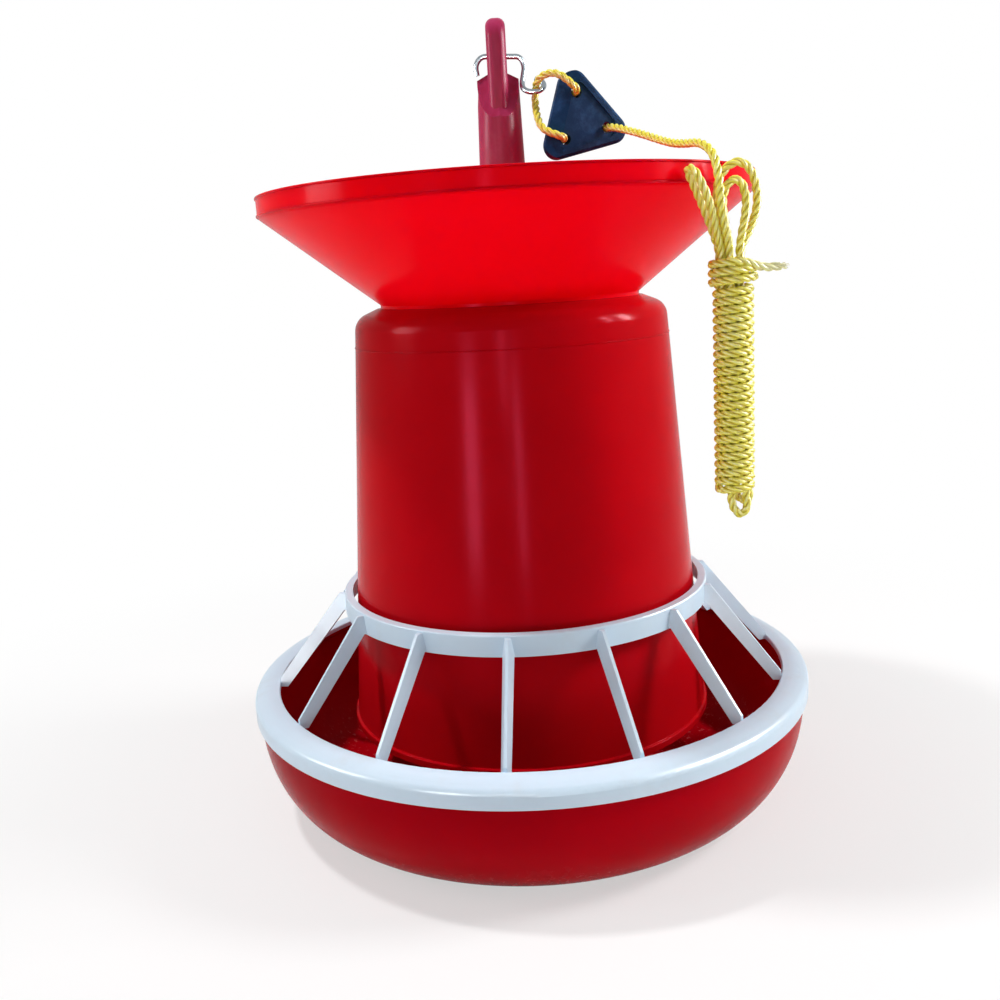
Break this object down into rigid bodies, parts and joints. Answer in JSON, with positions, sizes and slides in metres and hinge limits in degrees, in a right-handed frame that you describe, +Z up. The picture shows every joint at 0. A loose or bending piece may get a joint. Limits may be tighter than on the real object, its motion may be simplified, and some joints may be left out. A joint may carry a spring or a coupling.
{
  "type": "gravity poultry feeder",
  "caption": "Hanging gravity poultry feeder with a red drum, filling funnel and pan, a white slatted grille, and a post with a hook, a rope and an adjuster.",
  "frame": {"origin": "centre of the pan's flat underside", "axes": "+Z up along the post, +X to the side where the hook's small eye and the rope hang, -Y to the front"},
  "size_m": [0.3999, 0.4, 0.534],
  "materials": {
    "pan_red": "glossy moulded plastic, deep red",
    "drum_red": "glossy translucent plastic, red",
    "funnel_red": "glossy translucent plastic, bright red",
    "post_maroon": "satin moulded plastic, maroon",
    "grille_white": "glossy moulded plastic, cool white",
    "zinc_steel": "zinc-plated steel",
    "adjuster_black": "semi-matte moulded plastic, blue-black",
    "rope_yellow": "twisted polypropylene rope, yellow"
  },
  "bodies": {
    "pan": {"feed_pan": "pan_red", "hanger_post": "post_maroon", "foot_bolt": "zinc_steel", "foot_washer": "zinc_steel", "foot_nut": "zinc_steel"},
    "drum": {"feed_drum": "drum_red", "drum_spider": "post_maroon", "clamp_screw": "zinc_steel"},
    "funnel": {"fill_funnel": "funnel_red"},
    "grille": {"grille_top_ring": "grille_white", "grille_slats": "grille_white", "grille_outer_ring": "grille_white"},
    "hook": {"s_hook": "zinc_steel", "rope_adjuster": "adjuster_black", "rope_lead": "rope_yellow", "rope_knot": "rope_yellow", "rope_top_bights": "rope_yellow", "rope_hank": "rope_yellow", "rope_foot_bights": "rope_yellow", "rope_tail": "rope_yellow"}
  },
  "joints": [
    {"name": "grille_lift", "type": "slide", "parent": "pan", "child": "grille", "axis": [0, 0, 1], "range_m": [0, 0.06]},
    {"name": "drum_level", "type": "slide", "parent": "pan", "child": "drum", "axis": [0, 0, 1], "range_m": [-0.03, 0]},
    {"name": "funnel_lift", "type": "slide", "parent": "drum", "child": "funnel", "axis": [0, 0, 1], "range_m": [0, 0.045]},
    {"name": "hook_swing", "type": "hinge", "parent": "pan", "child": "hook", "pos_m": [0, 0, 0.5115], "axis": [1, 0, 0], "range_deg": [-26, 0]}
  ],
  "couplings": [
    {"joint": "hook_swing", "follows": "funnel_lift", "rad_per_m": -10}
  ]
}
